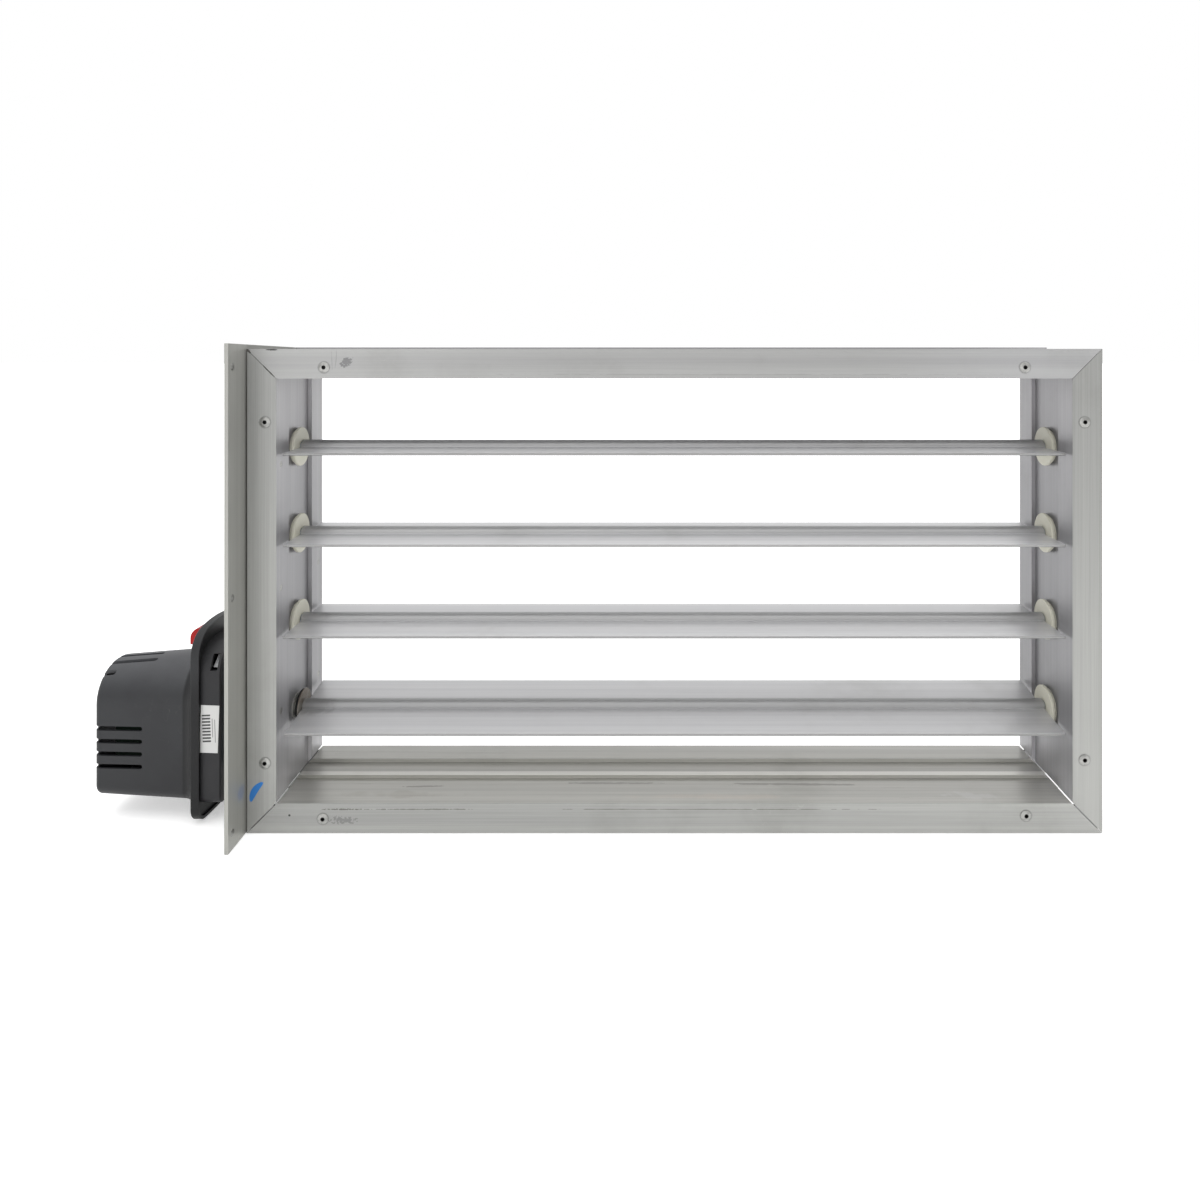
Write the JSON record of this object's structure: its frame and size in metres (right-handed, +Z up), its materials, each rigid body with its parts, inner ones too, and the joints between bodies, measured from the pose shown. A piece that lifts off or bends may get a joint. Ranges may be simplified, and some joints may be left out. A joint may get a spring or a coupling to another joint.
{
  "type": "volume control damper",
  "caption": "Rectangular parallel-blade volume control damper with an aluminium channel frame, overlapping pivoting blades, a crank and tie-bar linkage, and a side-mounted electric actuator.",
  "frame": {"origin": "centre of the overall bounding box at its lowest plane, which is the bottom edge of the frame; the duct's axis runs along Y at x = 78.3 mm, y = 16.5 mm, z = 228 mm", "axes": "+X along the blades, away from the actuator; +Y through the duct, from the front flange to the rear flange; +Z up"},
  "size_m": [0.9626, 0.145, 0.4615],
  "materials": {
    "frame_aluminium": "mill finish extrusion",
    "blade_aluminium": "mill finish extrusion",
    "plate_aluminium": "rolled plate",
    "rivet_aluminium": "bright",
    "zinc_steel": "bright zinc plate",
    "worn_steel": "turned and tarnished",
    "brass": "plain turned",
    "cream_nylon": "moulded",
    "charcoal_plastic": "fine moulded grain",
    "dark_plastic": "fine moulded grain",
    "red_plastic": "moulded",
    "label_paper": "matte, blank",
    "board": "coated board",
    "black_rubber": "moulded",
    "motor_steel": "drawn can"
  },
  "bodies": {
    "frame": {"actuator_base": "dark_plastic", "actuator_cover": "charcoal_plastic", "bearing_left_1": "cream_nylon", "bearing_left_2": "cream_nylon", "bearing_left_3": "cream_nylon", "bearing_left_4": "cream_nylon", "bearing_right_1": "cream_nylon", "bearing_right_2": "cream_nylon", "bearing_right_3": "cream_nylon", "bearing_right_4": "cream_nylon", "cable_grommet": "black_rubber", "circuit_board": "board", "corner_cleats_front": "frame_aluminium", "corner_cleats_rear": "frame_aluminium", "cover_screws": "zinc_steel", "frame_bottom": "frame_aluminium", "frame_left": "frame_aluminium", "frame_right": "frame_aluminium", "frame_top": "frame_aluminium", "front_rivets": "rivet_aluminium", "motor": "motor_steel", "plate_rivets": "rivet_aluminium", "plate_screws": "zinc_steel", "rear_rivets": "rivet_aluminium", "side_label": "label_paper", "side_plate": "plate_aluminium", "standoffs": "zinc_steel", "strap": "zinc_steel", "strap_screws": "zinc_steel", "window_strip": "zinc_steel"},
    "drive": {"blade_4": "blade_aluminium", "drive_shaft": "zinc_steel", "crank_4": "zinc_steel", "crank_screw_4": "zinc_steel", "drive_washer": "worn_steel", "output_hub": "zinc_steel", "clamp_jaw": "zinc_steel", "clamp_bolt": "zinc_steel", "clamp_nuts": "brass"},
    "tie_bar": {"tie_bar": "zinc_steel"},
    "release_button": {"release_button": "red_plastic"},
    "blade_1": {"blade_1": "blade_aluminium", "shaft_1": "zinc_steel", "crank_1": "zinc_steel", "crank_screw_1": "zinc_steel"},
    "blade_2": {"blade_2": "blade_aluminium", "shaft_2": "zinc_steel", "crank_2": "zinc_steel", "crank_screw_2": "zinc_steel"},
    "blade_3": {"blade_3": "blade_aluminium", "shaft_3": "zinc_steel", "crank_3": "zinc_steel", "crank_screw_3": "zinc_steel"}
  },
  "joints": [
    {"name": "drive_hinge", "type": "hinge", "parent": "frame", "child": "drive", "pos_m": [0.0783, 0.0165, 0.096], "axis": [1, 0, 0], "range_deg": [0, 83]},
    {"name": "blade_1_hinge", "type": "hinge", "parent": "frame", "child": "blade_1", "pos_m": [0.0783, 0.0165, 0.357], "axis": [1, 0, 0], "range_deg": [0, 83]},
    {"name": "blade_2_hinge", "type": "hinge", "parent": "frame", "child": "blade_2", "pos_m": [0.0783, 0.0165, 0.27], "axis": [1, 0, 0], "range_deg": [0, 83]},
    {"name": "blade_3_hinge", "type": "hinge", "parent": "frame", "child": "blade_3", "pos_m": [0.0783, 0.0165, 0.183], "axis": [1, 0, 0], "range_deg": [0, 83]},
    {"name": "tie_bar_pivot", "type": "hinge", "parent": "drive", "child": "tie_bar", "pos_m": [-0.3157, 0.03897, 0.07612], "axis": [1, 0, 0], "range_deg": [-83, 0]},
    {"name": "release_push", "type": "slide", "parent": "frame", "child": "release_button", "axis": [1, 0, 0], "range_m": [0, 0.0035], "stiffness_N_per_m": 300, "springref_m": -0.002}
  ],
  "couplings": [
    {"joint": "blade_1_hinge", "follows": "drive_hinge", "ratio": 1},
    {"joint": "blade_2_hinge", "follows": "drive_hinge", "ratio": 1},
    {"joint": "blade_3_hinge", "follows": "drive_hinge", "ratio": 1},
    {"joint": "tie_bar_pivot", "follows": "drive_hinge", "ratio": -1}
  ]
}
